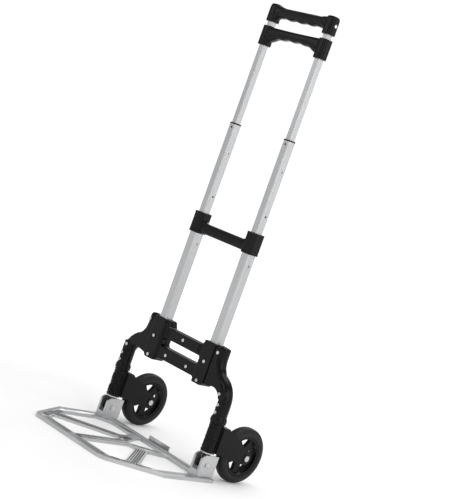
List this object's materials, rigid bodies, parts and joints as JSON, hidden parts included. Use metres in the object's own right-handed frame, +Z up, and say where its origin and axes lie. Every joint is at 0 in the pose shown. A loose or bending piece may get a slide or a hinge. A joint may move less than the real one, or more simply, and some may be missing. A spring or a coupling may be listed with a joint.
{
  "type": "folding luggage cart",
  "caption": "Upright folding hand cart with a telescopic twin-tube handle, a folding aluminium toe plate and wheels on swinging forks.",
  "frame": {"origin": "bottom centre of the bounding box with the cart unfolded: floor level, middle of the width and depth", "axes": "+Z up along the handle tubes, -Y forward over the toe plate, +X to the right of a viewer who faces the front of the cart"},
  "size_m": [0.39, 0.412, 1.032],
  "materials": {
    "black_plastic": "satin moulded black",
    "grip_plastic": "soft matte black",
    "dark_nylon": "matte",
    "tyre_rubber": "matte rubber",
    "plate_aluminium": "fine matt cast and blasted",
    "tube_aluminium": "satin anodised",
    "zinc_steel": "bright zinc plated"
  },
  "bodies": {
    "frame": {"frame_front": "black_plastic", "frame_rear": "black_plastic", "leg_left": "black_plastic", "leg_right": "black_plastic", "frame_screws": "zinc_steel", "leg_screws": "zinc_steel", "leg_rods": "zinc_steel", "rod_washers": "zinc_steel", "hinge_knuckles": "dark_nylon", "outer_tube_left": "tube_aluminium", "outer_tube_right": "tube_aluminium", "tube_plugs": "dark_nylon", "tube_guides": "dark_nylon", "crossbar": "black_plastic", "crossbar_screws": "zinc_steel"},
    "toe_plate": {"toe_plate": "plate_aluminium", "hinge_bracket_left": "plate_aluminium", "hinge_bracket_right": "plate_aluminium", "hinge_pins": "zinc_steel", "bracket_rivets": "zinc_steel"},
    "fork_left": {"fork_left": "black_plastic", "axle_bolt_left": "zinc_steel", "axle_nut_left": "zinc_steel"},
    "fork_right": {"fork_right": "black_plastic", "axle_bolt_right": "zinc_steel", "axle_nut_right": "zinc_steel"},
    "wheel_left": {"wheel_core_left": "black_plastic", "tyre_left": "tyre_rubber", "wheel_bush_left": "dark_nylon"},
    "wheel_right": {"wheel_core_right": "black_plastic", "tyre_right": "tyre_rubber", "wheel_bush_right": "dark_nylon"},
    "stage_1": {"stage1_tube_left": "tube_aluminium", "stage1_tube_right": "tube_aluminium", "stage1_collars": "black_plastic", "stage1_feet": "dark_nylon", "stage1_lock_pins": "zinc_steel"},
    "stage_2": {"stage2_tube_left": "tube_aluminium", "stage2_tube_right": "tube_aluminium", "stage2_feet": "dark_nylon", "stage2_lock_pins": "zinc_steel", "tube_caps": "dark_nylon", "top_handle": "black_plastic", "top_grip": "grip_plastic", "handle_rivets": "zinc_steel", "release_springs": "zinc_steel"},
    "release": {"lower_handle": "black_plastic", "release_pins": "zinc_steel", "release_rods": "zinc_steel"}
  },
  "joints": [
    {"name": "toe_plate_fold", "type": "hinge", "parent": "frame", "child": "toe_plate", "pos_m": [0, 0.04, 0.034], "axis": [-1, 0, 0], "range_deg": [0, 90]},
    {"name": "fork_fold_left", "type": "hinge", "parent": "frame", "child": "fork_left", "pos_m": [-0.17, 0.04, 0.09], "axis": [0, 0, -1], "range_deg": [0, 90]},
    {"name": "fork_fold_right", "type": "hinge", "parent": "frame", "child": "fork_right", "pos_m": [0.17, 0.04, 0.09], "axis": [0, 0, 1], "range_deg": [0, 90]},
    {"name": "wheel_spin_left", "type": "hinge", "parent": "fork_left", "child": "wheel_left", "pos_m": [-0.17, 0.142, 0.064], "axis": [1, 0, 0], "continuous": true},
    {"name": "wheel_spin_right", "type": "hinge", "parent": "fork_right", "child": "wheel_right", "pos_m": [0.17, 0.142, 0.064], "axis": [1, 0, 0], "continuous": true},
    {"name": "stage_1_slide", "type": "slide", "parent": "frame", "child": "stage_1", "axis": [0, 0, 1], "range_m": [-0.207, 0]},
    {"name": "stage_2_slide", "type": "slide", "parent": "stage_1", "child": "stage_2", "axis": [0, 0, 1], "range_m": [-0.181, 0]},
    {"name": "release_squeeze", "type": "slide", "parent": "stage_2", "child": "release", "axis": [0, 0, 1], "range_m": [0, 0.008], "stiffness_N_per_m": 500, "springref_m": -0.006, "deforming": ["release_springs"]}
  ],
  "couplings": [
    {"joint": "fork_fold_left", "follows": "toe_plate_fold", "ratio": 1},
    {"joint": "fork_fold_right", "follows": "toe_plate_fold", "ratio": 1}
  ]
}
